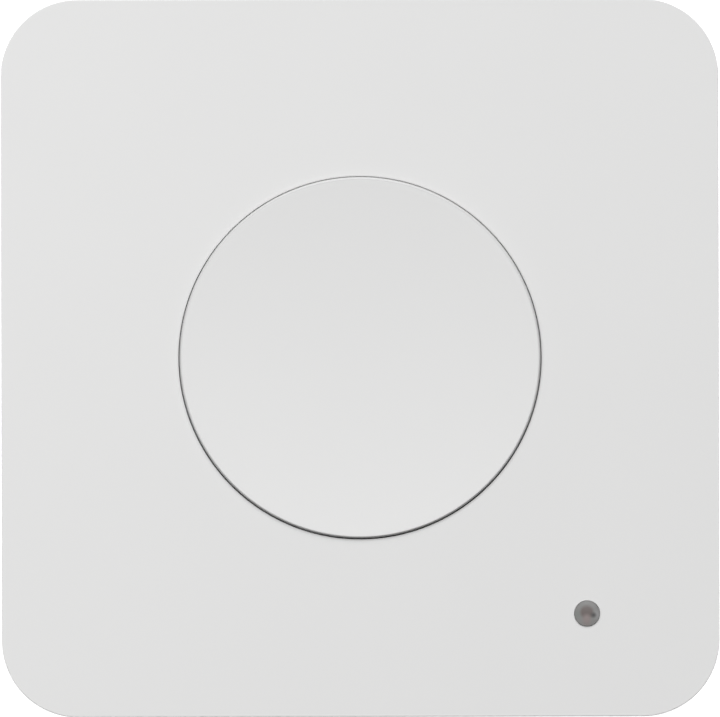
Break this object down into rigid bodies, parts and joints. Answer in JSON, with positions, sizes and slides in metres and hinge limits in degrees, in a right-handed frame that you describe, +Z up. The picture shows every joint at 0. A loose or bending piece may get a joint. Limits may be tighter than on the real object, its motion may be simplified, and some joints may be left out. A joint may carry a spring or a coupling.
{
  "type": "smart home hub",
  "caption": "Square white tabletop hub with a large, slightly raised round push button in its face, a small status lamp, and a network socket and power inlet in the rear wall.",
  "frame": {"origin": "middle of the footprint, on the surface that the feet stand on", "axes": "+Z up out of the face, +Y towards the rear wall with the sockets, +X to the right of someone who looks down at the face with the sockets away from them"},
  "size_m": [0.09, 0.09, 0.0264],
  "materials": {
    "shell_plastic": "fine textured white",
    "button_plastic": "fine textured white",
    "base_plastic": "spark textured white",
    "inner_plastic": "natural moulded",
    "foot_rubber": "matt grey",
    "bumper_silicone": "milky",
    "label_film": "blank satin film",
    "screw_steel": "zinc plated",
    "spring_steel": "drawn wire",
    "black_moulding": "moulded",
    "plunger_plastic": "moulded",
    "dome_silicone": "matt",
    "plated_steel": "tin plated sheet",
    "tinned_leads": "tinned",
    "gold_contacts": "gold flashed",
    "light_pipe": "milky clear",
    "lamp_epoxy": "smoky epoxy",
    "lamp_source": "phosphor",
    "spacer_nylon": "natural nylon",
    "board_laminate": "green solder mask",
    "radio_laminate": "blue solder mask",
    "antenna_copper": "copper track",
    "chip_epoxy": "filled epoxy",
    "thermal_rubber": "soft pad",
    "ferrite": "pressed ferrite",
    "can_aluminium": "drawn can",
    "ceramic_body": "fired ceramic with tinned ends",
    "resistor_body": "glazed black with tinned ends"
  },
  "bodies": {
    "chassis": {"top_cover": "shell_plastic", "base_cover": "base_plastic", "port_panel": "base_plastic", "button_carrier": "inner_plastic", "rubber_feet": "foot_rubber", "button_bumper_ring": "bumper_silicone", "rating_label": "label_film", "case_screws": "screw_steel", "carrier_screws": "screw_steel", "board_screws": "screw_steel", "return_spring_1": "spring_steel", "return_spring_2": "spring_steel", "return_spring_3": "spring_steel", "press_switch_base": "black_moulding", "ethernet_housing": "black_moulding", "power_inlet_tongue": "black_moulding", "reset_switch_body": "black_moulding", "service_header": "black_moulding", "electrolytic_bases": "black_moulding", "press_switch_dome": "dome_silicone", "press_switch_cover": "plated_steel", "ethernet_shield": "plated_steel", "power_inlet_shell": "plated_steel", "reset_switch_frame": "plated_steel", "mesh_radio_shield": "plated_steel", "wlan_shield": "plated_steel", "processor_shield_frame": "plated_steel", "processor_shield_lid": "plated_steel", "crystals": "plated_steel", "press_switch_terminals": "tinned_leads", "reset_switch_legs": "tinned_leads", "status_lamp_leads": "tinned_leads", "flash_chip_legs": "tinned_leads", "ethernet_transformer_legs": "tinned_leads", "ethernet_contacts": "gold_contacts", "power_inlet_contacts": "gold_contacts", "service_header_pins": "gold_contacts", "ethernet_lights": "light_pipe", "status_lamp_lens": "lamp_epoxy", "status_lamp_chip": "lamp_source", "status_lamp_spacer": "spacer_nylon", "main_board": "board_laminate", "mesh_radio_board": "radio_laminate", "wlan_board": "radio_laminate", "mesh_radio_antenna": "antenna_copper", "wlan_antenna": "antenna_copper", "processor_chip": "chip_epoxy", "memory_chip": "chip_epoxy", "flash_chip": "chip_epoxy", "network_chip": "chip_epoxy", "regulator_chips": "chip_epoxy", "ethernet_transformer": "chip_epoxy", "thermal_pad": "thermal_rubber", "power_inductors": "ferrite", "electrolytic_sleeves": "can_aluminium", "ceramic_capacitors": "ceramic_body", "chip_resistors": "resistor_body"},
    "button": {"centre_button": "button_plastic"},
    "switch_plunger": {"press_switch_plunger": "plunger_plastic"},
    "reset_plunger": {"reset_switch_plunger": "plunger_plastic"}
  },
  "joints": [
    {"name": "button_press", "type": "slide", "parent": "chassis", "child": "button", "axis": [0, 0, -1], "range_m": [0, 0.001], "stiffness_N_per_m": 900, "springref_m": -0.001, "deforming": ["return_spring_1", "return_spring_2", "return_spring_3"]},
    {"name": "switch_press", "type": "slide", "parent": "chassis", "child": "switch_plunger", "axis": [0, 0, -1], "range_m": [0, 0.001], "stiffness_N_per_m": 300, "springref_m": -0.0005, "deforming": ["press_switch_dome"]},
    {"name": "reset_press", "type": "slide", "parent": "chassis", "child": "reset_plunger", "axis": [0, -1, 0], "range_m": [0, 0.0003], "stiffness_N_per_m": 600, "springref_m": -0.0003}
  ],
  "couplings": [
    {"joint": "switch_press", "follows": "button_press", "ratio": 1}
  ]
}
